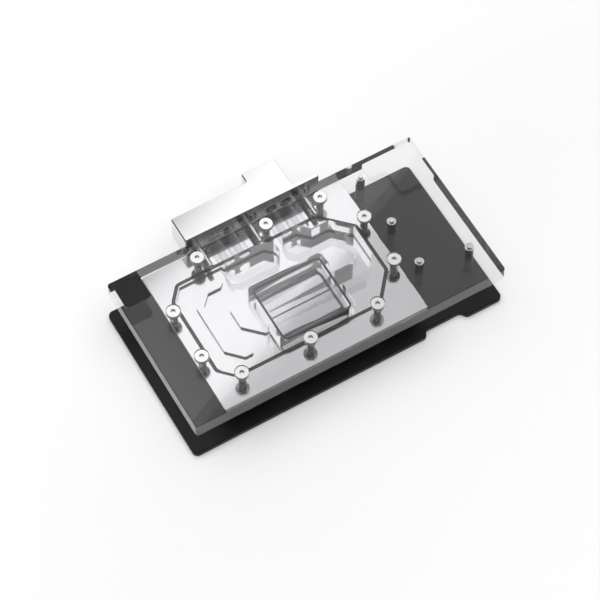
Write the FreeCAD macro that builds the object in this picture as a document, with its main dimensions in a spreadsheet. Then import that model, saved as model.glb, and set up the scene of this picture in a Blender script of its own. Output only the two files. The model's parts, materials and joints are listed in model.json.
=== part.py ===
"""Full-cover water block for a graphics card, standing on its backplate.

A clear cover plate is screwed onto a nickel-plated cold plate. Coolant enters the terminal's right
port, runs through two bores into the cover's milled channel, round to the tapering inlet channel of
the flow insert and down through the slot of the jet plate onto the fins. It leaves both ways along
the fins, through the outlet channels, into the milled chamber of the cold plate, round its C-shaped
rib and out through the left port.

Frame: millimetres, Z up, X along the block, Y towards the terminal. The origin lies on the standing
surface, in the middle of the part's box in plan. Each piece is drawn about the middle of the cover
in plan, which its placement then sets at cover_x, cover_y.
"""
import FreeCAD, Part
import math
import os

import Sketcher

from FreeCAD import Placement, Rotation, Vector

SIZES = {
    # Cover
    "cover_length": 184.0,
    "cover_width": 96.3,
    "cover_thick": 10.0,
    "cover_corner": 1.5,
    "cover_bevel": 0.4,
    "cover_x": 1.2,
    "cover_y": -10.525,
    "stand_gap": 17.0,
    # Backplate
    "backplate_past_left": 2.4,
    "backplate_short_right": 0.4,
    "backplate_past_front": 1.05,
    "backplate_short_back": 0.55,
    "backplate_thick": 3.0,
    "backplate_corner": 3.0,
    "backplate_bevel": 0.5,
    "notch_from_right": 35.1,
    "notch_length": 21.5,
    "notch_depth": 3.7,
    "notch_ramp": 2.4,
    # Cold plate
    "plate_length": 120.9,
    "plate_from_front": 5.6,
    "plate_from_back": 0.3,
    "plate_thick": 6.4,
    "plate_rim": 2.5,
    "plate_rim_bevel": 0.3,
    "plate_front_inset": 2.4,
    "plate_side_inset": 0.4,
    "plate_corner": 1.2,
    "plate_shift_x": -11.9,
    "front_tab_from_right": 13.7,
    "front_tab_width": 6.5,
    "gpu_land_length": 34.0,
    "gpu_land_width": 29.0,
    "gpu_land_rise": 1.2,
    "memory_land_rise": 0.5,
    "memory_land_width": 11.0,
    # Chamber in the cold plate
    "chamber_depth": 1.7,
    "channel_recess": 1.8,
    "chamber_from_seal": 1.8,
    "chamber_slant": 6.0,
    "plateau_reach": 11.3,
    "plateau_length": 11.5,
    "plateau_nip": 1.5,
    "rib_width": 3.9,
    "rib_from_wall": 7.1,
    # Main seal
    "seal_cord": 2.0,
    "seal_from_left": 7.35,
    "seal_from_right": 7.1,
    "seal_from_back": 13.1,
    "seal_from_front": 14.35,
    "seal_bend": 3.0,
    # Pockets in the cover
    "left_pocket_roof": 2.0,
    "pocket_width": 11.8,
    "pocket_reach_left": 8.4,
    "pocket_reach_right": 20.5,
    "pocket_slant": 4.2,
    "pocket_nip": 1.8,
    "channel_roof": 1.6,
    "channel_width": 6.4,
    "channel_from_seal": 3.7,
    "feed_reach_left": 8.6,
    "feed_reach_right": 1.1,
    "feed_slant": 6.0,
    "feed_nip": 2.1,
    "run_reach": 17.1,
    "turn_slant": 5.3,
    "pocket_bend": 0.8,
    # Flow insert and jet plate
    "insert_length": 40.9,
    "insert_width": 34.9,
    "insert_corner": 2.8,
    "insert_x": -7.75,
    "insert_from_chamber": 0.15,
    "insert_roof": 2.2,
    "moat_width": 2.1,
    "inlet_width": 8.4,
    "inlet_offset": 1.1,
    "inlet_low_height": 0.5,
    "inlet_high_height": 3.5,
    "outlet_width": 4.6,
    "ring_width": 1.0,
    "ring_height": 0.8,
    "jet_plate_thick": 0.8,
    "jet_slot_width": 1.0,
    "fin_depth": 3.0,
    "fin_gap": 0.5,
    "fin_pitch": 0.95,
    "fin_count": 39.0,
    "fin_span": 24.0,
    # Cover screws
    "screw_radius": 1.9,
    "screw_hole_radius": 2.1,
    "screw_head_radius": 3.8,
    "screw_head_thick": 1.8,
    "screw_seat_radius": 4.0,
    "screw_seat_depth": 2.2,
    "screw_socket": 2.5,
    "screw_from_left": 2.75,
    "screw_from_right": 3.45,
    "screw_from_back": 8.65,
    "screw_from_front": 10.55,
    # Terminal
    "port_left_x": -24.0,
    "port_right_x": 10.7,
    "port_radius": 5.72,
    "port_depth": 10.5,
    "port_rim_radius": 7.6,
    "port_rim_depth": 0.4,
    "duct_radius": 3.4,
    "duct_pitch": 9.0,
    "terminal_height": 17.3,
    "terminal_rise": 4.0,
    "terminal_depth": 16.2,
    "terminal_corner": 1.0,
    "terminal_bevel": 0.5,
    "terminal_reach_left": 21.2,
    "terminal_reach_right": 25.1,
    "bump_width": 20.4,
    "bump_depth": 22.1,
    "flange_depth": 3.1,
    "port_seal_cord": 1.2,
    "port_seal_length": 19.6,
    "port_seal_height": 8.3,
    # Terminal screws
    "edge_screw_radius": 1.5,
    "edge_screw_head_radius": 2.75,
    "edge_screw_head_thick": 2.6,
    "edge_screw_reach": 15.0,
    "edge_screw_socket": 2.5,
    "edge_screw_left_x": -38.6,
    "edge_screw_middle_x": -8.6,
    "edge_screw_right_x": 25.0,
    # Badge
    "badge_length": 14.9,
    "badge_width": 15.6,
    "badge_thick": 1.0,
    "badge_corner": 1.7,
    "badge_margin": 2.25,
    # Relief under the back right corner
    "relief_depth": 5.0,
    "relief_length": 20.5,
    "relief_width": 25.8,
    "relief_ear_length": 30.1,
    "relief_ear_width": 9.6,
    "relief_bend": 2.5,
    # Posts to the backplate
    "insert_nut_radius": 2.5,
    "insert_nut_height": 5.0,
    "spacer_radius": 2.5,
    "post_screw_radius": 1.5,
    "post_screw_head_radius": 2.75,
    "post_screw_head_thick": 1.6,
    "post_screw_socket": 2.0,
    "post_screw_tip": 1.4,
    "clearance": 0.15,
    "gpu_post_radius": 3.0,
    "gpu_post_stud": 2.0,
    "gpu_post_spacing": 58.0,
    "gpu_screw_grip": 6.0,
}

# Posts beside the cold plate: distances from its right end, and from the cover's back or front edge
BACK_POSTS = [(8.95, 6.45), (8.95, 38.65)]
FRONT_POST = (8.75, 29.15)
# The post near the cover's right end: distances from that end and from the front edge
END_POST = (7.4, 23.35)
# Cover screws along the back and front edges and up the two ends, about the middle of the cover
BACK_SCREWS_X = [-43.3, -2.0, 31.0]
FRONT_SCREWS_X = [-56.5, -16.1, 23.9]
SIDE_SCREWS_Y = [17.0, -13.4]

doc = FreeCAD.newDocument("gpu_water_block")
sheet = doc.addObject("Spreadsheet::Sheet", "sizes")
for row, (alias, value) in enumerate(SIZES.items(), start=1):
    sheet.set(f"A{row}", alias)
    sheet.set(f"B{row}", str(value))
    sheet.setAlias(f"B{row}", alias)
doc.recompute()


def size(alias):
    """The value of one cell of the sheet."""
    return float(sheet.get(alias))


COVER_LEVEL = "sizes.backplate_thick + sizes.stand_gap"
PLATE_LEVEL = COVER_LEVEL + " - sizes.plate_thick"

# Lines of the plan, about the middle of the cover
cover_right = size("cover_length") / 2
cover_back = size("cover_width") / 2
plate_left = size("plate_shift_x") - size("plate_length") / 2
plate_right = plate_left + size("plate_length")
plate_front = -cover_back + size("plate_from_front")
plate_back = cover_back - size("plate_from_back")
seal_left = plate_left + size("seal_from_left")
seal_right = plate_right - size("seal_from_right")
seal_front = plate_front + size("seal_from_front")
seal_back = plate_back - size("seal_from_back")
chamber_left = seal_left + size("chamber_from_seal")
chamber_front = seal_front + size("chamber_from_seal")
chamber_back = seal_back - size("chamber_from_seal")
pocket_back = seal_back - size("channel_from_seal")
channel_right = seal_right - size("channel_from_seal")
insert_left = size("insert_x") - size("insert_length") / 2
insert_right = insert_left + size("insert_length")
insert_front = chamber_front + size("insert_from_chamber")
insert_back = insert_front + size("insert_width")
insert_y = (insert_front + insert_back) / 2
moat_left = insert_left - size("moat_width")
moat_right = insert_right + size("moat_width")
moat_back = insert_back + size("moat_width")
jet_y = insert_y + size("inlet_offset")
inlet_front = jet_y - size("inlet_width") / 2
inlet_back = jet_y + size("inlet_width") / 2


def rounded_outline(points, radius):
    """Edges of the closed outline through the points, its corners rounded where the sides allow."""
    corners = []
    for index, point in enumerate(points):
        here = Vector(*point, 0)
        back = Vector(*points[index - 1], 0) - here
        ahead = Vector(*points[(index + 1) % len(points)], 0) - here
        half = back.getAngle(ahead) / 2
        reach = min(radius / math.tan(half), 0.45 * min(back.Length, ahead.Length))
        back.normalize()
        ahead.normalize()
        inward = (back + ahead).normalize()
        middle = here + inward * (reach / math.cos(half) - reach * math.tan(half))
        corners.append((here + back * reach, middle, here + ahead * reach))
    edges = []
    for corner, following in zip(corners, corners[1:] + corners[:1]):
        edges.append(Part.Arc(*corner))
        edges.append(Part.LineSegment(corner[2], following[0]))
    return edges


def plain_outline(points):
    """Edges of the closed outline through the points, with sharp corners."""
    starts = [Vector(*point, 0) for point in points]
    return [Part.LineSegment(a, b) for a, b in zip(starts, starts[1:] + starts[:1])]


def box_points(left, front, right, back):
    """Corners of an upright rectangle, anticlockwise."""
    return [(left, front), (right, front), (right, back), (left, back)]


def circle(x, y, radius):
    """A circle as a list of one edge."""
    return [Part.Circle(Vector(x, y, 0), Vector(0, 0, 1), radius)]


def stadium(x, y, half_pitch, radius):
    """Edges of a round-ended slot that lies along the first axis."""
    left, right = x - half_pitch, x + half_pitch
    return [
        Part.LineSegment(Vector(left, y - radius, 0), Vector(right, y - radius, 0)),
        Part.Arc(Vector(right, y - radius, 0), Vector(right + radius, y, 0), Vector(right, y + radius, 0)),
        Part.LineSegment(Vector(right, y + radius, 0), Vector(left, y + radius, 0)),
        Part.Arc(Vector(left, y + radius, 0), Vector(left - radius, y, 0), Vector(left, y - radius, 0)),
    ]


def new_body(label, level):
    """An empty body, set over the middle of the cover at a height given as an expression."""
    body = doc.addObject("PartDesign::Body", label)
    body.Label = label
    body.setExpression("Placement.Base.x", "sizes.cover_x")
    body.setExpression("Placement.Base.y", "sizes.cover_y")
    body.setExpression("Placement.Base.z", level)
    return body


def new_sketch(body, name, edges, level="0", plane="XY_Plane"):
    """A sketch of the edges on a plane of the body, moved along the plane's normal by the level."""
    sketch = body.newObject("Sketcher::SketchObject", f"{body.Name}_{name}_sketch")
    support = next(item for item in body.Origin.OriginFeatures if item.Role == plane)
    sketch.AttachmentSupport = [(support, "")]
    sketch.MapMode = "FlatFace"
    sketch.setExpression("AttachmentOffset.Base.z", level)
    sketch.addGeometry(edges, False)
    return sketch


def add_feature(body, kind, name, sketch, length, flipped, grows):
    """A pad or pocket of the sketch, which must change the body's volume the right way."""
    before = body.Shape.Volume if body.Tip else 0.0
    feature = body.newObject(f"PartDesign::{kind}", f"{body.Name}_{name}")
    feature.Profile = sketch
    feature.setExpression("Length", length)
    feature.Reversed = flipped
    body.Tip = feature
    doc.recompute()
    change = body.Shape.Volume - before
    if (change > 0) != grows or abs(change) < 1e-6:
        raise ValueError(f"{body.Label} {name} changed the volume by {change}")
    return feature


def pad(body, name, edges, length, level="0", plane="XY_Plane", flipped=False):
    """Material added from the sketch plane, upwards on the level plane."""
    return add_feature(body, "Pad", name, new_sketch(body, name, edges, level, plane), length, flipped, True)


def cut(body, name, edges, length, level="0", plane="XY_Plane", flipped=True):
    """Material taken away from the sketch plane, upwards on the level plane unless flipped is off."""
    return add_feature(body, "Pocket", name, new_sketch(body, name, edges, level, plane), length, flipped, False)


def side_cut(body, name, edges, start, length, to_back):
    """Material taken away along Y from the plane at that Y; the edges hold X and height."""
    return cut(body, name, edges, length, level=f"-({start})", plane="XZ_Plane", flipped=not to_back)


def edge_names(shape, wanted):
    """Names of the shape's edges for which wanted(edge) holds."""
    return [f"Edge{number}" for number, edge in enumerate(shape.Edges, start=1) if wanted(edge)]


def bevel_rim(body, name, height, amount, inside=None):
    """A chamfer along all edges at that height of the body, or along those that inside(edge) picks."""
    base = body.Tip
    base_edges = base.Shape.Edges
    flat = [edge for edge in base_edges if all(abs(v.Z - height) < 1e-4 for v in edge.Vertexes)]
    if inside:
        flat = [edge for edge in flat if inside(edge)]
    names = [f"Edge{n}" for n, edge in enumerate(base_edges, start=1) if any(edge.isSame(f) for f in flat)]
    chamfer = body.newObject("PartDesign::Chamfer", f"{body.Name}_{name}")
    chamfer.Base = (base, names)
    chamfer.setExpression("Size", amount)
    body.Tip = chamfer
    doc.recompute()
    return chamfer


def rectangle_sketch(body, name, length, width, level="0"):
    """A rectangle about the middle, held by constraints that read the sheet."""
    sketch = body.newObject("Sketcher::SketchObject", f"{body.Name}_{name}_sketch")
    support = next(item for item in body.Origin.OriginFeatures if item.Role == "XY_Plane")
    sketch.AttachmentSupport = [(support, "")]
    sketch.MapMode = "FlatFace"
    sketch.setExpression("AttachmentOffset.Base.z", level)
    half_x, half_y = size(length) / 2, size(width) / 2
    sketch.addGeometry(plain_outline(box_points(-half_x, -half_y, half_x, half_y)), False)
    for side in range(4):
        following = (side + 1) % 4
        sketch.addConstraint(Sketcher.Constraint("Coincident", side, 2, following, 1))
    for side, direction in enumerate(["Horizontal", "Vertical", "Horizontal", "Vertical"]):
        sketch.addConstraint(Sketcher.Constraint(direction, side))
    sketch.addConstraint(Sketcher.Constraint("Symmetric", 0, 1, 2, 1, -1, 1))
    for side, alias in [(0, length), (1, width)]:
        kind = "DistanceX" if side == 0 else "DistanceY"
        number = sketch.addConstraint(Sketcher.Constraint(kind, side, 1, side, 2, size(alias)))
        sketch.renameConstraint(number, alias)
        sketch.setExpression(f"Constraints.{alias}", f"sizes.{alias}")
    return sketch


def cover_screw_places():
    """Plan places of the ten cover screws."""
    back = plate_back - size("screw_from_back")
    front = plate_front + size("screw_from_front")
    left = plate_left + size("screw_from_left")
    right = plate_right - size("screw_from_right")
    places = [(x, back) for x in BACK_SCREWS_X] + [(x, front) for x in FRONT_SCREWS_X]
    return places + [(x, y) for x in (left, right) for y in SIDE_SCREWS_Y]


def post_places():
    """Plan places of the posts between cover and backplate."""
    back = [(plate_right + beside, cover_back - inwards) for beside, inwards in BACK_POSTS]
    front = [(plate_right + FRONT_POST[0], -cover_back + FRONT_POST[1])]
    return back + front + [(cover_right - END_POST[0], -cover_back + END_POST[1])]


def gpu_post_places():
    """Plan places of the posts round the GPU land."""
    half = size("gpu_post_spacing") / 2
    return [(size("insert_x") + i * half, insert_y + j * half) for j in (-1, 1) for i in (-1, 1)]


def left_pocket_points():
    """The pocket over the chamber's outlet, at the left port's bores."""
    left = size("port_left_x") - size("pocket_reach_left")
    right = size("port_left_x") + size("pocket_reach_right")
    front = pocket_back - size("pocket_width")
    slant, nip = size("pocket_slant"), size("pocket_nip")
    return [
        (left, front + slant), (left + slant, front), (right - 1.5 * nip, front), (right, front + 1.5 * nip),
        (right, pocket_back - 3.1 * nip), (right - nip / 2, pocket_back - 2 * nip),
        (right - 1.15 * slant, pocket_back), (left + nip, pocket_back), (left, pocket_back - nip),
    ]


def channel_points(down_to_insert):
    """The channel from the right port's bores, and either its whole way round to the flow insert or
    its upper run alone, which ends on a slant below the turn."""
    port = size("port_right_x")
    slant, nip, turn = size("feed_slant"), size("feed_nip"), size("turn_slant")
    run_back = pocket_back - slant
    run_front = pocket_back - size("pocket_width")
    inner = channel_right - size("channel_width")
    left, right = port - size("feed_reach_left"), port + size("feed_reach_right")
    turn_reach = channel_right - port - size("run_reach")
    outline = [
        (left, run_front + 2 * nip), (left + 2 * nip, run_front), (inner - turn, run_front),
        (inner, run_front - turn),
    ]
    if down_to_insert:
        end = insert_right - size("ring_width") / 2
        outline += [
            (inner, inlet_back + turn), (inner - turn, inlet_back), (end, inlet_back), (end, inlet_front),
            (channel_right - 1.6 * turn, inlet_front),
        ]
    else:
        outline.append((inner, inlet_front + 1.6 * turn - size("channel_width")))
    return outline + [
        (channel_right, inlet_front + 1.6 * turn), (channel_right, run_back - turn_reach),
        (port + size("run_reach"), run_back), (right + slant, run_back), (right, pocket_back),
        (left + nip, pocket_back), (left, pocket_back - nip),
    ]


def chamber_points():
    """The milled chamber of the cold plate: left of the plateau and under the left pocket."""
    pocket = left_pocket_points()
    slant, reach, nip = size("chamber_slant"), size("plateau_reach"), size("plateau_nip")
    plateau_left = moat_left - reach
    plateau_front = jet_y + reach / 3
    pocket_left, pocket_front = pocket[0][0], pocket[1][1]
    return [
        (chamber_left, chamber_front + slant), (chamber_left + 0.9 * slant, chamber_front),
        (moat_left, chamber_front), (moat_left, plateau_front - reach + 2 * nip),
        (moat_left - nip, plateau_front - reach + nip), (plateau_left, plateau_front),
        (plateau_left, plateau_front + size("plateau_length")), (pocket_left + nip, pocket_front + nip / 2),
        (pocket_left + 1.6 * nip, pocket_front), *pocket[2:7], (pocket_left, pocket_back),
        (pocket_left, chamber_back), (chamber_left + 0.9 * slant, chamber_back),
        (chamber_left, chamber_back - 1.1 * slant),
    ]


def rib_points():
    """The C-shaped rib that guides the coolant round the chamber."""
    left = chamber_left + size("rib_from_wall")
    wide = size("rib_width")
    back = chamber_back - 7.3
    front = chamber_front + 5.9
    return [
        (left + 7.9, front), (left + 12.4, front), (left + 13.4, front + 1.4), (left + 12.0, front + 2.5),
        (left + wide, front + 10.6), (left + wide, back - 9.2), (left + wide + 5.6, back - 3.4),
        (left + 17.1, back - 3.4), (left + 19.7, back - 0.9), (left + 18.9, back), (left + 7.6, back),
        (left, back - 8.2), (left, front + 8.3),
    ]


def seal_points():
    """Corner points of the main seal's centre line."""
    return [
        (seal_left + 7.9, seal_front), (seal_right - 13.4, seal_front), (seal_right, seal_front + 16.0),
        (seal_right, seal_back - 15.8), (seal_right - 15.8, seal_back), (seal_left + 6.8, seal_back),
        (seal_left, seal_back - 8.2), (seal_left, seal_front + 8.2),
    ]


def build_cover():
    """The clear cover with everything that is milled into it."""
    body = new_body("acrylic_cover", COVER_LEVEL)
    block = body.newObject("PartDesign::Pad", "acrylic_cover_block")
    block.Profile = rectangle_sketch(body, "block", "cover_length", "cover_width")
    block.setExpression("Length", "sizes.cover_thick")
    body.Tip = block
    doc.recompute()
    corner_edges = edge_names(block.Shape, lambda edge: abs(edge.Vertexes[0].Z - edge.Vertexes[-1].Z) > 1)
    corners = body.newObject("PartDesign::Fillet", "acrylic_cover_corners")
    corners.Base = (block, corner_edges)
    corners.setExpression("Radius", "sizes.cover_corner")
    body.Tip = corners
    doc.recompute()
    bevel_rim(body, "top_bevel", size("cover_thick"), "sizes.cover_bevel")
    bevel_rim(body, "bottom_bevel", 0.0, "sizes.cover_bevel")

    bend = size("pocket_bend")
    cut(body, "left_pocket", rounded_outline(left_pocket_points(), bend),
        "sizes.cover_thick - sizes.left_pocket_roof")
    cut(body, "channel", rounded_outline(channel_points(True), bend),
        "sizes.cover_thick - sizes.channel_roof")
    seat = box_points(moat_left, chamber_front, moat_right, moat_back)
    cut(body, "insert_seat", rounded_outline(seat, size("insert_corner")),
        "sizes.cover_thick - sizes.insert_roof")
    outlet = [
        (moat_left + 1.0, chamber_front), (moat_left + 1.0, insert_y - 3.6), (moat_left - 2.6, insert_y - 7.6),
        (moat_left - 4.4, insert_y - 11.4), (moat_left - 4.4, chamber_front),
    ]
    cut(body, "outlet_pocket", rounded_outline(outlet, bend), "sizes.cover_thick - sizes.insert_roof")

    places = cover_screw_places()
    holes = [edge for place in places for edge in circle(*place, size("screw_hole_radius"))]
    cut(body, "screw_holes", holes, "sizes.cover_thick")
    seats = [edge for place in places for edge in circle(*place, size("screw_seat_radius"))]
    cut(body, "screw_seats", seats, "sizes.screw_seat_depth", level="sizes.cover_thick", flipped=False)

    nuts = [edge for place in post_places() for edge in circle(*place, size("insert_nut_radius"))]
    cut(body, "nut_holes", nuts, "sizes.insert_nut_height")
    tips = [edge for place in post_places()
            for edge in circle(*place, size("post_screw_radius") + size("clearance"))]
    cut(body, "nut_hole_tips", tips, "sizes.insert_nut_height + sizes.post_screw_tip + sizes.clearance")

    relief_right, relief_back = cover_right + 1, cover_back + 1
    relief_left = cover_right - size("relief_length")
    ear_front = cover_back - size("relief_ear_width")
    relief = [
        (relief_left, cover_back - size("relief_width")), (relief_right, cover_back - size("relief_width")),
        (relief_right, relief_back), (cover_right - size("relief_ear_length"), relief_back),
        (cover_right - size("relief_ear_length"), ear_front), (relief_left, ear_front),
    ]
    cut(body, "corner_relief", rounded_outline(relief, size("relief_bend")), "sizes.relief_depth")

    badge_left = -cover_right + size("badge_margin")
    badge_back = cover_back - size("badge_margin")
    badge = box_points(badge_left, badge_back - size("badge_width"), badge_left + size("badge_length"), badge_back)
    cut(body, "badge_seat", rounded_outline(badge, size("badge_corner")), "sizes.badge_thick",
        level="sizes.cover_thick", flipped=False)

    middle = size("cover_thick") / 2
    half_pitch = size("duct_pitch") / 2
    ducts = [edge for port in (size("port_left_x"), size("port_right_x")) for side in (-1, 1)
             for edge in circle(port + side * half_pitch, middle, size("duct_radius"))]
    pocket_reach = cover_back - pocket_back + 1.5
    side_cut(body, "duct_bores", ducts, "sizes.cover_width / 2", str(pocket_reach), to_back=False)
    edge_holes = [edge for x in edge_screw_xs() for edge in circle(x, middle, size("edge_screw_radius"))]
    side_cut(body, "edge_holes", edge_holes, "sizes.cover_width / 2",
             "sizes.edge_screw_reach + sizes.clearance", to_back=False)
    return body


def edge_screw_xs():
    """Places along the block of the three screws that hold the terminal."""
    return [size(f"edge_screw_{which}_x") for which in ("left", "middle", "right")]


def build_badge():
    """The black square let into the cover's corner."""
    body = new_body("badge_plate", COVER_LEVEL + " + sizes.cover_thick - sizes.badge_thick")
    left = -cover_right + size("badge_margin")
    back = cover_back - size("badge_margin")
    outline = box_points(left, back - size("badge_width"), left + size("badge_length"), back)
    pad(body, "plate", rounded_outline(outline, size("badge_corner")), "sizes.badge_thick")
    return body


def build_cold_plate():
    """The nickel-plated cold plate: rim, body, chamber, rib, seal groove, fins and contact lands."""
    body = new_body("cold_plate", PLATE_LEVEL)
    inset = size("plate_front_inset")
    side = size("plate_side_inset")
    core = box_points(plate_left + side, plate_front + inset, plate_right - side, plate_back - side)
    rim = box_points(plate_left, plate_front, plate_right, plate_back)
    pad(body, "rim", rounded_outline(rim, size("plate_corner")), "sizes.plate_rim",
        level="sizes.plate_thick - sizes.plate_rim")
    pad(body, "core", rounded_outline(core, size("plate_corner")), "sizes.plate_thick")
    tab_right = plate_right - size("front_tab_from_right") + size("front_tab_width") / 2
    tab = box_points(tab_right - size("front_tab_width"), plate_front, tab_right, plate_front + inset + 1)
    pad(body, "front_tab", plain_outline(tab), "sizes.plate_thick")
    bevel_rim(body, "rim_bevel", size("plate_thick"), "sizes.plate_rim_bevel")

    gpu_x, half_x, half_y = size("insert_x"), size("gpu_land_length") / 2, size("gpu_land_width") / 2
    gpu = box_points(gpu_x - half_x, insert_y - half_y, gpu_x + half_x, insert_y + half_y)
    pad(body, "gpu_land", rounded_outline(gpu, size("plate_corner")), "sizes.gpu_land_rise", flipped=True)
    wide = size("memory_land_width")
    reach = size("gpu_post_spacing") / 2 - size("gpu_post_radius")
    back_land = box_points(gpu_x - reach, insert_y + half_y + 5, gpu_x + reach, insert_y + half_y + 5 + wide)
    left_land = box_points(gpu_x - half_x - 5 - wide, insert_y - half_y, gpu_x - half_x - 5, insert_y + half_y)
    lands = rounded_outline(back_land, size("plate_corner")) + rounded_outline(left_land, size("plate_corner"))
    pad(body, "memory_lands", lands, "sizes.memory_land_rise", flipped=True)

    cut(body, "chamber", rounded_outline(chamber_points(), size("pocket_bend")), "sizes.chamber_depth",
        level="sizes.plate_thick", flipped=False)
    pad(body, "rib", rounded_outline(rib_points(), size("pocket_bend")), "sizes.chamber_depth",
        level="sizes.plate_thick - sizes.chamber_depth")
    cut(body, "channel_floor", rounded_outline(channel_points(False), size("pocket_bend")),
        "sizes.channel_recess", level="sizes.plate_thick", flipped=False)

    half_cord = size("seal_cord") / 2
    centre_line = Part.Wire([edge.toShape() for edge in rounded_outline(seal_points(), size("seal_bend"))])
    groove = offset_outline(centre_line, half_cord) + offset_outline(centre_line, -half_cord)
    cut(body, "seal_groove", groove, "sizes.seal_cord", level="sizes.plate_thick", flipped=False)

    jet = box_points(insert_left, insert_front, insert_right, insert_back)
    cut(body, "jet_seat", rounded_outline(jet, size("insert_corner")), "sizes.jet_plate_thick",
        level="sizes.plate_thick", flipped=False)
    build_fins(body)

    holes = [edge for place in cover_screw_places() for edge in circle(*place, size("screw_radius"))]
    cut(body, "screw_holes", holes, "sizes.plate_thick")
    studs = [edge for place in gpu_post_places() for edge in circle(*place, size("post_screw_radius"))]
    cut(body, "stud_holes", studs, "sizes.gpu_post_stud")
    return body


def fin_field():
    """Left end, right end, front end and back end of the fin field."""
    half_x = size("fin_pitch") * size("fin_count") / 2
    half_y = size("fin_span") / 2
    return size("insert_x") - half_x, jet_y - half_y, size("insert_x") + half_x, jet_y + half_y


def build_fins(body):
    """Fins of the cold plate: one slot between two fins, repeated, and a cross channel at both ends."""
    left, front, right, back = fin_field()
    floor = "sizes.plate_thick - sizes.jet_plate_thick"
    end = size("outlet_width") - 1.0
    ends = plain_outline(box_points(left, front - end, right, front))
    ends += plain_outline(box_points(left, back, right, back + end))
    cut(body, "fin_ends", ends, "sizes.fin_depth", level=floor, flipped=False)
    slot = plain_outline(box_points(left, front - end / 2, left + size("fin_gap"), back + end / 2))
    first = cut(body, "fin_slot", slot, "sizes.fin_depth", level=floor, flipped=False)
    before = body.Shape.Volume
    slots = body.newObject("PartDesign::LinearPattern", "cold_plate_fin_slots")
    slots.Originals = [first]
    slots.Direction = (next(i for i in body.Origin.OriginFeatures if i.Role == "X_Axis"), [""])
    slots.Mode = "Spacing"
    slots.setExpression("Offset", "sizes.fin_pitch")
    slots.setExpression("Occurrences", "sizes.fin_count")
    body.Tip = slots
    doc.recompute()
    if body.Shape.Volume >= before:
        raise ValueError("the fin slots cut nothing")


def offset_outline(wire, distance):
    """Sketch edges of the wire moved outwards by the distance, or inwards where it is negative."""
    moved = wire.makeOffset2D(distance)
    return [edge_geometry(edge) for edge in moved.Edges]


def edge_geometry(edge):
    """The sketch geometry of a straight or round edge."""
    first, last = edge.ParameterRange
    if edge.Curve.TypeId == "Part::GeomCircle":
        return Part.Arc(edge.valueAt(first), edge.valueAt((first + last) / 2), edge.valueAt(last))
    return Part.LineSegment(edge.valueAt(first), edge.valueAt(last))


def build_main_seal():
    """The long O-ring in the cold plate's groove: round cord swept along the groove's centre line."""
    centre_line = Part.Wire([edge.toShape() for edge in rounded_outline(seal_points(), size("seal_bend"))])
    start = centre_line.Edges[1].valueAt(0)
    along = centre_line.Edges[1].tangentAt(0)
    profile = Part.Wire([Part.Circle(start, along, size("seal_cord") / 2).toShape()])
    ring = doc.addObject("Part::Feature", "main_seal")
    ring.Shape = centre_line.makePipeShell([profile], True, True)
    ring.setExpression("Placement.Base.x", "sizes.cover_x")
    ring.setExpression("Placement.Base.y", "sizes.cover_y")
    ring.setExpression("Placement.Base.z", COVER_LEVEL + " - sizes.seal_cord / 2")
    return ring


def build_jet_plate():
    """The thin plate over the fins, with the jet slot and an outlet slot along each long edge."""
    body = new_body("jet_plate", COVER_LEVEL + " - sizes.jet_plate_thick")
    gap = size("clearance")
    outline = box_points(insert_left + gap, insert_front + gap, insert_right - gap, insert_back - gap)
    pad(body, "plate", rounded_outline(outline, size("insert_corner")), "sizes.jet_plate_thick")
    left, front, right, back = fin_field()
    half_slot = size("jet_slot_width") / 2
    end = size("outlet_width") - 1.4
    slots = plain_outline(box_points(left + 1, jet_y - half_slot, right - 1, jet_y + half_slot))
    slots += plain_outline(box_points(left + 1, front - end, right - 1, front))
    slots += plain_outline(box_points(left + 1, back, right - 1, back + end))
    cut(body, "slots", slots, "sizes.jet_plate_thick")
    return body


def build_flow_insert():
    """The clear insert: a tapering inlet channel, two outlet channels and the seat of its ring."""
    body = new_body("flow_insert", COVER_LEVEL)
    height = size("cover_thick") - size("insert_roof")
    outline = box_points(insert_left, insert_front, insert_right, insert_back)
    pad(body, "block", rounded_outline(outline, size("insert_corner")), "sizes.cover_thick - sizes.insert_roof")
    roof = height - 1.4
    inlet = [
        (insert_left + 3.4, 0), (insert_right + 1, 0), (insert_right + 1, roof), (insert_right - 1.0, roof),
        (insert_right - 2.6, size("inlet_high_height")), (insert_left + 3.4, size("inlet_low_height")),
    ]
    side_cut(body, "inlet", plain_outline(inlet), str(inlet_front), "sizes.inlet_width", to_back=True)
    outlet = [
        (insert_left - 1, 0), (insert_right - 2.5, 0), (insert_right - 2.5, 0.8), (insert_left + 6.0, roof),
        (insert_left - 1, roof),
    ]
    width = size("outlet_width")
    side_cut(body, "back_outlet", plain_outline(outlet), str(insert_back), str(width), to_back=False)
    side_cut(body, "front_outlet", plain_outline(outlet), str(insert_front), str(width), to_back=True)
    wide = size("ring_width")
    inner = box_points(insert_left + wide, insert_front + wide, insert_right - wide, insert_back - wide)
    rebate = rounded_outline(outline, size("insert_corner"))
    rebate += rounded_outline(inner, size("insert_corner") - wide)
    cut(body, "ring_seat", rebate, "sizes.ring_height", level=str(height), flipped=False)
    return body


def build_insert_seal():
    """The thin dark ring round the top of the flow insert."""
    body = new_body("insert_seal", COVER_LEVEL + " + sizes.cover_thick - sizes.insert_roof - sizes.ring_height")
    wide = size("ring_width")
    outer = box_points(insert_left, insert_front, insert_right, insert_back)
    inner = box_points(insert_left + wide, insert_front + wide, insert_right - wide, insert_back - wide)
    ring = rounded_outline(outer, size("insert_corner")) + rounded_outline(inner, size("insert_corner") - wide)
    pad(body, "ring", ring, "sizes.ring_height")
    return body


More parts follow.
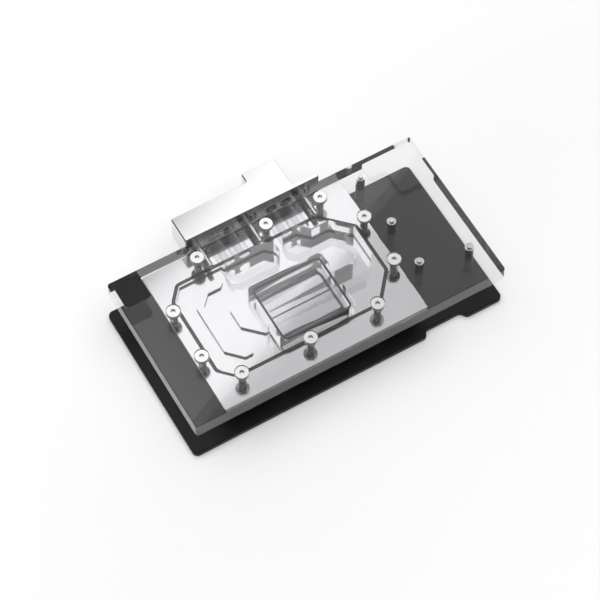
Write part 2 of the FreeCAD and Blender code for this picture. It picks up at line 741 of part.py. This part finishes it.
def build_terminal():
    """The metal terminal: two threaded ports from behind, each with a round-ended duct to the cover."""
    level = COVER_LEVEL + " + sizes.cover_thick + sizes.terminal_rise - sizes.terminal_height"
    body = new_body("port_terminal", level)
    left = size("port_left_x") - size("terminal_reach_left")
    right = size("port_right_x") + size("terminal_reach_right")
    half_bump = size("bump_width") / 2
    bump_left, bump_right = size("port_right_x") - half_bump, size("port_right_x") + half_bump
    front = cover_back
    outline = [
        (left, front), (right, front), (right, front + size("flange_depth")),
        (bump_right, front + size("flange_depth")), (bump_right, front + size("bump_depth")),
        (bump_left, front + size("bump_depth")), (bump_left, front + size("terminal_depth")),
        (left, front + size("terminal_depth")),
    ]
    pad(body, "block", rounded_outline(outline, size("terminal_corner")), "sizes.terminal_height")
    bevel_rim(body, "top_bevel", size("terminal_height"), "sizes.terminal_bevel")

    port_level = size("terminal_height") - size("terminal_rise") - size("cover_thick") / 2
    half_pitch = size("duct_pitch") / 2
    faces = [("left", size("port_left_x"), "sizes.terminal_depth"), ("right", size("port_right_x"), "sizes.bump_depth")]
    for side, x, depth in faces:
        back_face = f"sizes.cover_width / 2 + {depth}"
        side_cut(body, f"{side}_port_rim", circle(x, port_level, size("port_rim_radius")), back_face,
                 "sizes.port_rim_depth", to_back=False)
        side_cut(body, f"{side}_port", circle(x, port_level, size("port_radius")), back_face,
                 "sizes.port_depth", to_back=False)
        side_cut(body, f"{side}_duct", stadium(x, port_level, half_pitch, size("duct_radius")),
                 "sizes.cover_width / 2", f"{depth} - sizes.port_depth", to_back=True)
        groove = port_seal_outline(x, port_level)
        side_cut(body, f"{side}_seal_groove", groove, "sizes.cover_width / 2", "sizes.port_seal_cord",
                 to_back=True)

    shank = size("edge_screw_radius") + size("clearance")
    holes = [edge for x in edge_screw_xs() for edge in circle(x, port_level, shank)]
    side_cut(body, "screw_holes", holes, "sizes.cover_width / 2", "sizes.flange_depth", to_back=True)
    head = size("edge_screw_head_radius") + 2 * size("clearance")
    sinks = [edge for x in edge_screw_xs()[:2] for edge in circle(x, port_level, head)]
    side_cut(body, "screw_sinks", sinks, "sizes.cover_width / 2 + sizes.terminal_depth",
             "sizes.terminal_depth - sizes.flange_depth", to_back=False)
    return body


def port_seal_outline(port, middle):
    """Both edges of the oval seal round a port's duct, as X and height."""
    straight = (size("port_seal_length") - size("port_seal_height")) / 2
    half_cord = size("port_seal_cord") / 2
    outer = stadium(port, middle, straight, size("port_seal_height") / 2 + half_cord)
    return outer + stadium(port, middle, straight, size("port_seal_height") / 2 - half_cord)


def build_port_seals():
    """The two oval rings between the terminal and the cover's back edge."""
    middle = size("cover_thick") / 2
    for side in ("left", "right"):
        body = new_body(f"port_seal_{side}", COVER_LEVEL)
        pad(body, "ring", port_seal_outline(size(f"port_{side}_x"), middle), "sizes.port_seal_cord",
            level="-sizes.cover_width / 2", plane="XZ_Plane", flipped=True)


def build_screw(label, radius, length, head_radius, head_thick, socket):
    """A socket screw along Z: shank from 0 down to -length, head above, hexagon socket in the head."""
    body = doc.addObject("PartDesign::Body", label)
    body.Label = label
    edge = 0.25
    profile = [
        (0, -length), (radius, -length), (radius, 0), (head_radius, 0),
        (head_radius, head_thick - edge), (head_radius - edge, head_thick), (0, head_thick),
    ]
    sketch = new_sketch(body, "profile", plain_outline(profile), plane="XZ_Plane")
    turned = body.newObject("PartDesign::Revolution", f"{body.Name}_turned")
    turned.Profile = sketch
    turned.ReferenceAxis = (sketch, ["V_Axis"])
    turned.Angle = 360
    body.Tip = turned
    doc.recompute()
    corner = socket / math.sqrt(3)
    hexagon = [(corner * math.cos(math.radians(60 * k)), corner * math.sin(math.radians(60 * k))) for k in range(6)]
    cut(body, "socket", plain_outline(hexagon), str(0.7 * head_thick), level=str(head_thick), flipped=False)
    return body


def place(body, x, y, level, rotation=Rotation()):
    """Puts a piece drawn about its own origin over a place of the plan."""
    body.Placement = Placement(Vector(0, 0, 0), rotation)
    body.setExpression("Placement.Base.x", f"sizes.cover_x + {x}")
    body.setExpression("Placement.Base.y", f"sizes.cover_y + {y}")
    body.setExpression("Placement.Base.z", level)


def build_cover_screws():
    """The ten flat-headed screws that clamp cover and cold plate."""
    length = size("cover_thick") - size("screw_seat_depth") + size("plate_thick") - 0.6
    for number, (x, y) in enumerate(cover_screw_places(), start=1):
        screw = build_screw(f"cover_screw_{number}", size("screw_radius"), length, size("screw_head_radius"),
                            size("screw_head_thick"), size("screw_socket"))
        place(screw, x, y, COVER_LEVEL + " + sizes.cover_thick - sizes.screw_seat_depth")


def build_terminal_screws():
    """The three screws through the terminal into the cover's back edge, heads behind."""
    length = size("flange_depth") + size("edge_screw_reach")
    for number, x in enumerate(edge_screw_xs(), start=1):
        screw = build_screw(f"terminal_screw_{number}", size("edge_screw_radius"), length,
                            size("edge_screw_head_radius"), size("edge_screw_head_thick"),
                            size("edge_screw_socket"))
        place(screw, x, cover_back + size("flange_depth"), COVER_LEVEL + " + sizes.cover_thick / 2",
              Rotation(Vector(1, 0, 0), -90))


def tube(body, name, outer, inner, length, level="0"):
    """A plain tube about the body's own axis."""
    return pad(body, name, circle(0, 0, outer) + circle(0, 0, inner), length, level=level)


def build_posts():
    """Between cover and backplate, at four places: a threaded insert, a black spacer and a screw."""
    bore = size("post_screw_radius")
    head_seat = size("post_screw_head_thick") + size("clearance")
    length = size("backplate_thick") + size("stand_gap") + size("insert_nut_height") + size("post_screw_tip")
    for number, (x, y) in enumerate(post_places(), start=1):
        insert = doc.addObject("PartDesign::Body", f"cover_insert_{number}")
        tube(insert, "tube", size("insert_nut_radius"), bore, "sizes.insert_nut_height")
        place(insert, x, y, COVER_LEVEL)
        spacer = doc.addObject("PartDesign::Body", f"cover_spacer_{number}")
        tube(spacer, "tube", size("spacer_radius"), bore + size("clearance"), "sizes.stand_gap")
        place(spacer, x, y, "sizes.backplate_thick")
        screw = build_screw(f"spacer_screw_{number}", bore, length - head_seat, size("post_screw_head_radius"),
                            size("post_screw_head_thick"), size("post_screw_socket"))
        place(screw, x, y, str(head_seat), Rotation(Vector(1, 0, 0), 180))


def build_gpu_posts():
    """The four posts round the GPU land, each held by a stud above and a screw from below."""
    bore = size("post_screw_radius")
    head_seat = size("post_screw_head_thick") + size("clearance")
    height = "sizes.stand_gap - sizes.plate_thick"
    for number, (x, y) in enumerate(gpu_post_places(), start=1):
        post = doc.addObject("PartDesign::Body", f"gpu_post_{number}")
        pad(post, "column", circle(0, 0, size("gpu_post_radius")), height)
        pad(post, "stud", circle(0, 0, bore), height + " + sizes.gpu_post_stud")
        cut(post, "thread", circle(0, 0, bore), "sizes.gpu_screw_grip + sizes.clearance")
        place(post, x, y, "sizes.backplate_thick")
        length = size("backplate_thick") - head_seat + size("gpu_screw_grip")
        screw = build_screw(f"gpu_screw_{number}", bore, length, size("post_screw_head_radius"),
                            size("post_screw_head_thick"), size("post_screw_socket"))
        place(screw, x, y, str(head_seat), Rotation(Vector(1, 0, 0), 180))


def build_backplate():
    """The black backplate: rounded corners, the notch in its front edge, and the screws' seats."""
    body = new_body("backplate", "0")
    left, right = -cover_right - size("backplate_past_left"), cover_right - size("backplate_short_right")
    front, back = -cover_back - size("backplate_past_front"), cover_back - size("backplate_short_back")
    notch_x, half_notch = right - size("notch_from_right"), size("notch_length") / 2
    ramp, notch_back = size("notch_ramp"), front + size("notch_depth")
    outline = [
        (left, front), (notch_x - half_notch - ramp / 2, front), (notch_x - half_notch, notch_back),
        (notch_x + half_notch, notch_back), (notch_x + half_notch + ramp, front), (right, front),
        (right, back), (left, back),
    ]
    pad(body, "plate", rounded_outline(outline, size("backplate_corner")), "sizes.backplate_thick")
    bevel_rim(body, "top_bevel", size("backplate_thick"), "sizes.backplate_bevel")
    places = post_places() + gpu_post_places()
    clear = size("post_screw_radius") + size("clearance")
    cut(body, "screw_holes", [e for p in places for e in circle(*p, clear)], "sizes.backplate_thick")
    sink = size("post_screw_head_radius") + size("clearance")
    cut(body, "screw_sinks", [e for p in places for e in circle(*p, sink)],
        "sizes.post_screw_head_thick + sizes.clearance")
    return body


build_backplate()
build_posts()
build_gpu_posts()
build_cold_plate()
build_main_seal()
build_jet_plate()
build_flow_insert()
build_insert_seal()
build_cover()
build_badge()
build_cover_screws()
build_terminal()
build_port_seals()
build_terminal_screws()
doc.recompute()

pieces = [item for item in doc.Objects if item.TypeId in ("PartDesign::Body", "Part::Feature")]
for item in doc.Objects:
    if "Invalid" in item.State or "Error" in item.State:
        raise ValueError(f"{item.Label} failed: {item.State}")
for piece in pieces:
    if piece.Shape.isNull() or not piece.Shape.isValid() or len(piece.Shape.Solids) != 1:
        raise ValueError(f"{piece.Label} is not one valid solid")

os.makedirs("parts", exist_ok=True)
for piece in pieces:
    piece.Shape.exportStep(f"parts/{piece.Label}.step")
    print(piece.Label, round(piece.Shape.Volume, 1))
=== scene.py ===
"""Water block for a graphics card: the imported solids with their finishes, the threads of its screws
and ports, and the studio round it. Lengths are in metres, in the frame of the solids."""

import json
import math

import bpy
import numpy as np
from mathutils import Matrix, Vector


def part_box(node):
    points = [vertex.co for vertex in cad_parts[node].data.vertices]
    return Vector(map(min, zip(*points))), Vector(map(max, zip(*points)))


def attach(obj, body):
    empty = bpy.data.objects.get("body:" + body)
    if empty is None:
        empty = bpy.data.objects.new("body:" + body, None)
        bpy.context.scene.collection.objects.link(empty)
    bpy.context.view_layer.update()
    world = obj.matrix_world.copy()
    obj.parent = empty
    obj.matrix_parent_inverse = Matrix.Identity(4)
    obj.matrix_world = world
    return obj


MM = 0.001

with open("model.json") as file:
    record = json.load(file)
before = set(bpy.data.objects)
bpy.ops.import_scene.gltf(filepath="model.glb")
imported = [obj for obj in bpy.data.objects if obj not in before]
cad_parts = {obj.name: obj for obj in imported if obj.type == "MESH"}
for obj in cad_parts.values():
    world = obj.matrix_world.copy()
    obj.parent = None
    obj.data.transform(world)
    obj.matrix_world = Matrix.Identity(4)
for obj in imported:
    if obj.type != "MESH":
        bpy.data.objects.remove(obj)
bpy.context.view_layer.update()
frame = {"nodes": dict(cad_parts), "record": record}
nodes = frame["nodes"]
scene = bpy.context.scene


# Shader maths

class Value:
    """An output of a shader tree that takes part in ordinary arithmetic."""

    def __init__(self, maker, socket):
        self.maker = maker
        self.socket = socket

    def math(self, operation, *others):
        """A Math node on this value and the others, in that order."""
        return self.maker.node("ShaderNodeMath", {"operation": operation}, [self, *others])

    def __add__(self, other):
        return self.math("ADD", other)

    __radd__ = __add__

    def __sub__(self, other):
        return self.math("SUBTRACT", other)

    def __rsub__(self, other):
        return self.maker.node("ShaderNodeMath", {"operation": "SUBTRACT"}, [other, self])

    def __mul__(self, other):
        return self.math("MULTIPLY", other)

    __rmul__ = __mul__

    def smooth(self, low, high):
        """0 below low, 1 above high, and an even ease between them."""
        settings = {"interpolation_type": "SMOOTHSTEP"}
        return self.maker.node("ShaderNodeMapRange", settings, {0: self, 1: low, 2: high, 3: 0.0, 4: 1.0})

    def within(self, middle, half):
        """1 where the value is nearer to the middle than half, else 0."""
        return (self - middle).math("ABSOLUTE").math("LESS_THAN", half)


class Maker:
    """Builds one node tree."""

    def __init__(self, tree):
        self.tree = tree
        tree.nodes.clear()

    def node(self, kind, settings=None, inputs=None, output=0):
        """A node of that kind: its settings, then the values or links of its inputs."""
        made = self.tree.nodes.new(kind)
        for name, value in (settings or {}).items():
            setattr(made, name, value)
        pairs = inputs.items() if isinstance(inputs, dict) else enumerate(inputs or [])
        for name, value in pairs:
            socket = made.inputs[name]
            if isinstance(value, Value):
                self.tree.links.new(value.socket, socket)
            else:
                socket.default_value = value
        return Value(self, made.outputs[output])

    def place(self):
        """The place on the piece, in metres."""
        return self.node("ShaderNodeTexCoord", output="Object")

    def upright(self):
        """1 on an upright wall, 0 on a level face."""
        normal = self.node("ShaderNodeTexCoord", output="Normal")
        return 1.0 - self.parts(normal)[2].math("ABSOLUTE")

    def parts(self, vector):
        """The three numbers of a vector."""
        split = self.node("ShaderNodeSeparateXYZ", {}, [vector])
        return [Value(self, output) for output in split.socket.node.outputs]

    def along(self, vector, direction):
        """How far a vector reaches along a direction."""
        settings = {"operation": "DOT_PRODUCT"}
        return self.node("ShaderNodeVectorMath", settings, [vector, direction], output="Value")

    def noise(self, vector, scale, detail):
        """Soft noise about 0.5 on a place, with that many cells per metre."""
        return self.node("ShaderNodeTexNoise", {}, {"Vector": vector, "Scale": scale, "Detail": detail})

    def stretched(self, vector, scale):
        """The place with each axis scaled by itself."""
        return self.node("ShaderNodeMapping", {}, {"Vector": vector, "Scale": scale})

    def blend(self, factor, first, second):
        """A colour between two colours."""
        return self.node("ShaderNodeMix", {"data_type": "RGBA"}, {0: factor, 6: first, 7: second}, output=2)

    def bump(self, height, distance, strength):
        """A normal from a height, the distance being the height of 1 in metres."""
        return self.node("ShaderNodeBump", {}, {"Height": height, "Distance": distance, "Strength": strength})

    def principled(self, **inputs):
        """A Principled shader; an underscore in a socket's name stands for a space."""
        named = {key.replace("_", " "): value for key, value in inputs.items()}
        return self.node("ShaderNodeBsdfPrincipled", {}, named)

    def finish(self, shader, kind="ShaderNodeOutputMaterial"):
        """Links the shader to the tree's output."""
        output = self.tree.nodes.new(kind)
        self.tree.links.new(shader.socket, output.inputs["Surface"])


def material(name):
    """A new material and the maker of its tree."""
    made = bpy.data.materials.new(name)
    made.use_nodes = True
    return made, Maker(made.node_tree)


def rgb(red, green, blue):
    """A colour for a socket."""
    return (red, green, blue, 1.0)


# Finishes

ACRYLIC_IOR = 1.49
FACE_GLOSS = 0.04
GRAZING_POWER = 5.0
OUTLINE_MARGIN = 0.5 * MM
BORES_FROM_SEAL = 3.7 * MM
MILLED_WALL_SHADE = 0.8
BLACK_SPECULAR = 0.25


def clear_acrylic():
    """Polished clear acrylic, drawn as still clear walls: light goes straight on through them, as in the
    photograph, and each face mirrors by its angle. A solid block would bend the light. Upright outer
    walls mirror as a clear solid's do, and less where metal or another wall reflects them. Upright walls
    milled inside the outline have their two sides the wrong way round: what meets them flat from the
    pocket is mirrored wholly, what comes from inside the acrylic faintly, which makes them as dark as in
    the photograph. The duct bores and all level faces mirror only at a grazing angle."""
    made, maker = material("clear_acrylic")
    place = maker.place()
    low, high = (Vector(corner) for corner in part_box("acrylic_cover"))
    middle, half = (low + high) / 2, (high - low) / 2
    along, across, _ = maker.parts(place)
    half_x, half_y = half.x - OUTLINE_MARGIN, half.y - OUTLINE_MARGIN
    milled = along.within(middle.x, half_x) * across.within(middle.y, half_y)
    bores = across.math("GREATER_THAN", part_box("main_seal")[1][1] - BORES_FROM_SEAL)
    haze = maker.noise(place, 90.0, 2.0)
    straight = maker.node("ShaderNodeBsdfTransparent", {}, {"Color": rgb(0.95, 0.95, 0.955)})
    mirror = maker.principled(Base_Color=rgb(0.97, 0.97, 0.975), Metallic=1.0,
                              Roughness=(haze - 0.5) * 0.01 + 0.01)
    outer = maker.node("ShaderNodeFresnel", {}, {"IOR": ACRYLIC_IOR})
    inner = maker.node("ShaderNodeFresnel", {}, {"IOR": 1.0 / ACRYLIC_IOR})
    turned = maker.node("ShaderNodeLayerWeight", {}, {"Blend": 0.5}, output="Facing")
    edges = turned.math("POWER", GRAZING_POWER) * (1.0 - FACE_GLOSS) + FACE_GLOSS
    bounced = maker.node("ShaderNodeLightPath", output="Is Glossy Ray")
    upright = maker.upright().math("GREATER_THAN", 0.5)
    calm = bounced * (1.0 - milled) + bores * milled
    wall = outer + (inner - outer) * milled
    facing = edges + (wall - edges) * (1.0 - calm) * upright
    maker.finish(maker.node("ShaderNodeMixShader", {}, {0: facing, 1: straight, 2: mirror}))
    return made


def nickel(name, tone, rough, grain_scale, wall_shade=0.0):
    """Satin nickel plating: a grey mirror with a fine lapped grain and soft clouding. wall_shade paints
    upright walls darker, so that milled edges show; real plating is as bright there."""
    made, maker = material(name)
    place = maker.place()
    grain = maker.noise(maker.stretched(place, grain_scale), 1.0, 3.0)
    cloud = maker.noise(place, 45.0, 2.0)
    dark, light = rgb(*(0.96 * c for c in tone)), rgb(*(min(1.0, 1.03 * c) for c in tone))
    colour = maker.blend(cloud, dark, light)
    if wall_shade:
        colour = maker.blend(maker.upright() * wall_shade, colour, rgb(0.12, 0.12, 0.12))
    roughness = rough + (cloud - 0.5) * 0.06 + (grain - 0.5) * 0.05
    normal = maker.bump(grain, 0.000004, 0.25)
    maker.finish(maker.principled(Base_Color=colour, Metallic=1.0, Roughness=roughness, Normal=normal))
    return made


def turned_steel():
    """Turned screw steel: its rings are too fine to draw, so it has a fine even tooth."""
    made, maker = material("turned_steel")
    place = maker.place()
    tooth = maker.noise(place, 5200.0, 2.0)
    cloud = maker.noise(place, 400.0, 1.0)
    colour = maker.blend(cloud, rgb(0.74, 0.74, 0.74), rgb(0.84, 0.84, 0.83))
    roughness = 0.26 + (cloud - 0.5) * 0.1
    normal = maker.bump(tooth, 0.000004, 0.4)
    maker.finish(maker.principled(Base_Color=colour, Metallic=1.0, Roughness=roughness, Normal=normal))
    return made


def black_anodised():
    """Black anodised aluminium: a matt, finely blasted skin."""
    made, maker = material("black_anodised")
    place = maker.place()
    blast = maker.noise(place, 4200.0, 2.0)
    cloud = maker.noise(place, 60.0, 2.0)
    colour = maker.blend(cloud, rgb(0.006, 0.006, 0.0065), rgb(0.010, 0.010, 0.0105))
    roughness = 0.42 + (cloud - 0.5) * 0.08
    normal = maker.bump(blast, 0.0000015, 0.2)
    maker.finish(maker.principled(Base_Color=colour, Roughness=roughness, Normal=normal,
                                  Specular_IOR_Level=BLACK_SPECULAR))
    return made


def seal_rubber():
    """Black seal rubber with a faint moulded tooth."""
    made, maker = material("seal_rubber")
    tooth = maker.noise(maker.place(), 2600.0, 2.0)
    colour = maker.blend(tooth, rgb(0.018, 0.018, 0.018), rgb(0.032, 0.032, 0.032))
    normal = maker.bump(tooth, 0.000010, 0.4)
    maker.finish(maker.principled(Base_Color=colour, Roughness=0.45, Normal=normal))
    return made


def badge_black():
    """Bare black plate with a soft shine."""
    made, maker = material("badge_black")
    cloud = maker.noise(maker.place(), 500.0, 3.0)
    colour = maker.blend(cloud, rgb(0.007, 0.007, 0.0075), rgb(0.012, 0.012, 0.0125))
    roughness = 0.32 + (cloud - 0.5) * 0.1
    normal = maker.bump(cloud, 0.000006, 0.3)
    maker.finish(maker.principled(Base_Color=colour, Roughness=roughness, Normal=normal,
                                  Specular_IOR_Level=BLACK_SPECULAR))
    return made


finishes = {
    "clear_acrylic": clear_acrylic(),
    "nickel_plate": nickel("nickel_plate", (0.75, 0.74, 0.745), 0.10, (260.0, 2600.0, 260.0),
                           MILLED_WALL_SHADE),
    "terminal_metal": nickel("terminal_metal", (0.71, 0.71, 0.71), 0.13, (220.0, 2400.0, 2400.0)),
    "insert_metal": nickel("insert_metal", (0.84, 0.83, 0.82), 0.12, (1500.0, 1500.0, 4000.0)),
    "screw_steel": turned_steel(),
    "seal_rubber": seal_rubber(),
    "black_anodised": black_anodised(),
    "badge_black": badge_black(),
}
for part in frame["record"]["subparts"]:
    for slot in nodes[part["node"]].material_slots:
        slot.material = finishes[part["material_slot"]]


def lift(name, up, back=0.0):
    """Stands a clear piece off the faces that it touches, by far less than can be seen, so that light
    passes the two faces one after the other."""
    for axis, amount in (("Z", up), ("Y", back)):
        if amount:
            shift = nodes[name].modifiers.new(f"stand_off_{axis}", "DISPLACE")
            shift.direction = axis
            shift.mid_level = 0.0
            shift.strength = amount


lift("acrylic_cover", 0.02 * MM, -0.02 * MM)
lift("flow_insert", 0.01 * MM)


# Threads

SCREW_COUNT = 10
SCREW_THREAD_RADIUS = 1.9 * MM
SCREW_THREAD_DEPTH = 0.13 * MM
SCREW_PITCH = 0.7 * MM
SCREW_THREAD_LENGTH = 6.6 * MM
SCREW_THREAD_ABOVE_PLATE = 0.1 * MM
PORT_THREAD_RADIUS = 5.71 * MM
PORT_THREAD_DEPTH = 0.45 * MM
PORT_PITCH = 1.337 * MM
PORT_THREAD_LENGTH = 10.0 * MM
PORT_THREAD_FROM_MOUTH = 10.4 * MM
BUMP_STEP = 5.9 * MM


def thread(name, centre, axis, radius, depth, pitch, length, around=40, slot="screw_steel"):
    """A thread as a sleeve about an axis. At angle a and distance s along it, the radius is the base
    radius plus depth times a triangle wave of s / pitch - a / 2 pi, faded to nothing at both ends. A
    depth below nothing makes an inside thread, whose faces look at the axis."""
    rows = max(8, int(length / pitch * 6))
    a = np.linspace(0.0, 2 * math.pi, around, endpoint=False)[None, :]
    s = np.linspace(0.0, length, rows)[:, None]
    phase = (s / pitch - a / (2 * math.pi)) % 1.0
    wave = 1.0 - np.abs(2.0 * phase - 1.0)
    fade = np.clip(np.minimum(s, length - s) / (0.6 * pitch), 0.0, 1.0)
    reach = radius + depth * wave * fade
    axis = Vector(axis).normalized()
    side = axis.orthogonal().normalized()
    other = axis.cross(side)
    points = np.array(centre) + s[..., None] * np.array(axis)
    points = points + (reach * np.cos(a))[..., None] * np.array(side)
    points = points + (reach * np.sin(a))[..., None] * np.array(other)
    here = np.arange(rows * around).reshape(rows, around)
    right = np.roll(here, -1, axis=1)
    faces = np.stack([here[:-1], right[:-1], right[1:], here[1:]], axis=-1).reshape(-1, 4)
    if depth < 0:
        faces = faces[:, ::-1]
    mesh = bpy.data.meshes.new(name)
    mesh.from_pydata(points.reshape(-1, 3).tolist(), [], faces.tolist())
    piece = bpy.data.objects.new(name, mesh)
    scene.collection.objects.link(piece)
    mesh.materials.append(finishes[slot])
    mesh.polygons.foreach_set("use_smooth", np.ones(len(faces), bool))
    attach(piece, "root")


def middle_of(name):
    """Middle of a node's box."""
    low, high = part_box(name)
    return (Vector(low) + Vector(high)) / 2


for number in range(1, SCREW_COUNT + 1):
    foot = middle_of(f"cover_screw_{number}")
    foot.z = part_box("cold_plate")[1][2] + SCREW_THREAD_ABOVE_PLATE
    thread(f"screw_thread_{number}", foot, (0, 0, 1), SCREW_THREAD_RADIUS, SCREW_THREAD_DEPTH, SCREW_PITCH,
           SCREW_THREAD_LENGTH)

terminal_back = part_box("port_terminal")[1][1]
for side, mouth in (("left", terminal_back - BUMP_STEP), ("right", terminal_back)):
    seal = middle_of(f"port_seal_{side}")
    start = Vector((seal.x, mouth - PORT_THREAD_FROM_MOUTH, seal.z))
    thread(f"port_thread_{side}", start, (0, 1, 0), PORT_THREAD_RADIUS, -PORT_THREAD_DEPTH, PORT_PITCH,
           PORT_THREAD_LENGTH, around=96, slot="terminal_metal")


# Studio

FLOOR_HALF = 3.0
FLOOR_BELOW = 0.02 * MM
FLOOR_GLOW = 0.04
CARD_HEIGHT = 300.0 * MM
CARD_EDGE = Vector((-14.0, 82.0, 0.0)) * MM
CARD_TURN = math.radians(24.1)
CARD_LEFT = -160.0 * MM
CARD_RIGHT = 330.0 * MM
CARD_DEPTH = 130.0 * MM
CARD_BRIGHT = 1.5
CARD_DIM = 1.15
CARD_FADE = (70.0 * MM, 118.0 * MM)


def stage_sheet(name, corners, finish):
    """A flat sheet of the studio."""
    mesh = bpy.data.meshes.new(name)
    mesh.from_pydata([tuple(corner) for corner in corners], [], [(0, 1, 2, 3)])
    mesh.materials.append(finish)
    sheet = bpy.data.objects.new(name, mesh)
    scene.collection.objects.link(sheet)


def studio_floor():
    """A pale floor that takes the shadow, with a faint glow to the camera, to metal and to glass."""
    made, maker = material("floor")
    diffuse = maker.node("ShaderNodeBsdfDiffuse", {}, {"Color": rgb(0.80, 0.80, 0.80)})
    kinds = ("Is Camera Ray", "Is Glossy Ray", "Is Transmission Ray")
    camera_ray, glossy_ray, clear_ray = (maker.node("ShaderNodeLightPath", output=kind) for kind in kinds)
    seen = (camera_ray + glossy_ray + clear_ray).math("MINIMUM", 1.0)
    glow = maker.node("ShaderNodeEmission", {}, {"Color": rgb(1, 1, 1), "Strength": seen * FLOOR_GLOW})
    maker.finish(maker.node("ShaderNodeAddShader", {}, [diffuse, glow]))
    ends = [(-1, -1), (1, -1), (1, 1), (-1, 1)]
    stage_sheet("floor", [(x * FLOOR_HALF, y * FLOOR_HALF, -FLOOR_BELOW) for x, y in ends], made)


def studio_card():
    """A soft light close above the part, behind it. Its near edge is sharp; across it the brightness
    stays even and then eases off towards the back."""
    along = Vector((math.cos(CARD_TURN), math.sin(CARD_TURN), 0.0))
    across = Vector((-along.y, along.x, 0.0))
    near = CARD_EDGE + Vector((0, 0, CARD_HEIGHT))
    ends = [(CARD_LEFT, 0.0), (CARD_LEFT, CARD_DEPTH), (CARD_RIGHT, CARD_DEPTH), (CARD_RIGHT, 0.0)]
    made, maker = material("soft_light_card")
    depth = maker.along(maker.place(), tuple(across)) - near.dot(across)
    glow = CARD_BRIGHT - depth.smooth(*CARD_FADE) * CARD_DIM
    maker.finish(maker.node("ShaderNodeEmission", {}, {"Color": rgb(1, 1, 1), "Strength": glow}))
    stage_sheet("soft_light_card", [near + along * u + across * n for u, n in ends], made)


def studio_world():
    """A room that is bright overhead at the back, dimmer overhead in front, and dark near the horizon."""
    world = bpy.data.worlds.new("studio")
    world.use_nodes = True
    scene.world = world
    maker = Maker(world.node_tree)
    direction = maker.node("ShaderNodeTexCoord", output="Generated")
    lean = maker.along(direction, (0.5, 0.866, 0.0))
    height = maker.parts(direction)[2]
    strength = (0.28 + lean.smooth(-0.1, 0.35) * 0.57) * (0.12 + height.smooth(0.25, 0.8) * 0.88)
    background = maker.node("ShaderNodeBackground", {}, {"Color": rgb(1, 1, 1), "Strength": strength})
    maker.finish(background, "ShaderNodeOutputWorld")


def lamp(name, place, size, watts):
    """A square soft lamp that faces the origin and doesn't show in reflections."""
    data = bpy.data.lights.new(name, "AREA")
    data.shape = "RECTANGLE"
    data.size = size
    data.size_y = size
    data.energy = watts
    made = bpy.data.objects.new(name, data)
    scene.collection.objects.link(made)
    place = Vector(place)
    made.matrix_world = Matrix.Translation(place) @ place.to_track_quat("Z", "Y").to_matrix().to_4x4()
    made.visible_glossy = False


studio_floor()
studio_card()
studio_world()
lamp("ceiling", (0.0, 0.15, 1.3), 2.4, 26.6)
lamp("key", (-0.1, 0.9, 1.0), 0.9, 5.4)


# Camera: the photograph's place and lens, from the corners of the clear cover

IMAGE_WIDTH_PX = 600.0
FOCAL_PX = 2358.85
SENSOR_WIDTH = 36.0
CAMERA_PLACE = Vector((-309.514, -551.024, 1085.114)) * MM
CAMERA_ACROSS = Vector((0.865626, -0.500668, -0.004761))
CAMERA_UP = Vector((0.435597, 0.748367, 0.500202))
CAMERA_BACK = Vector((-0.246872, -0.435061, 0.865896))

lens = bpy.data.cameras.new("camera")
lens.sensor_width = SENSOR_WIDTH
lens.lens = FOCAL_PX / IMAGE_WIDTH_PX * SENSOR_WIDTH
lens.clip_start = 0.05
camera = bpy.data.objects.new("camera", lens)
scene.collection.objects.link(camera)
turn = Matrix((CAMERA_ACROSS, CAMERA_UP, CAMERA_BACK)).transposed().to_4x4()
camera.matrix_world = Matrix.Translation(CAMERA_PLACE) @ turn
bpy.context.scene.camera = camera

scene.view_settings.view_transform = "Standard"
scene.cycles.transparent_max_bounces = 32
